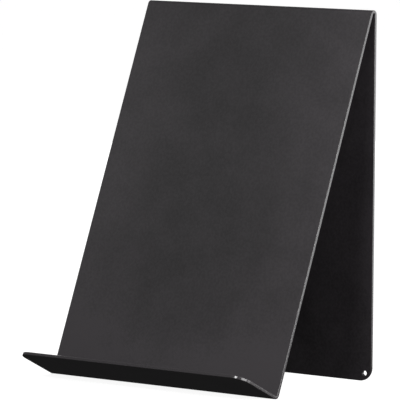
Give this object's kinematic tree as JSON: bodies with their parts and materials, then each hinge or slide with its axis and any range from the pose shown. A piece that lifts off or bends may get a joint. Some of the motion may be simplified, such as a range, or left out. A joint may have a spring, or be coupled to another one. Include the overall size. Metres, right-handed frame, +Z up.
{
  "type": "photo album stand",
  "caption": "Free-standing display stand for a photo album: folded sheet steel with a raised front ledge, a leaning display panel and an upright back panel, coated satin black.",
  "frame": {"origin": "on the floor, under the middle of the stand's width and depth", "axes": "+X to the right as the viewer faces the album, +Y away from the viewer towards the back panel, +Z up"},
  "size_m": [0.2, 0.1546, 0.264],
  "materials": {
    "powder_coat": "satin black powder coat with a fine texture"
  },
  "bodies": {
    "root": {"folded_sheet": "powder_coat"}
  },
  "joints": []
}
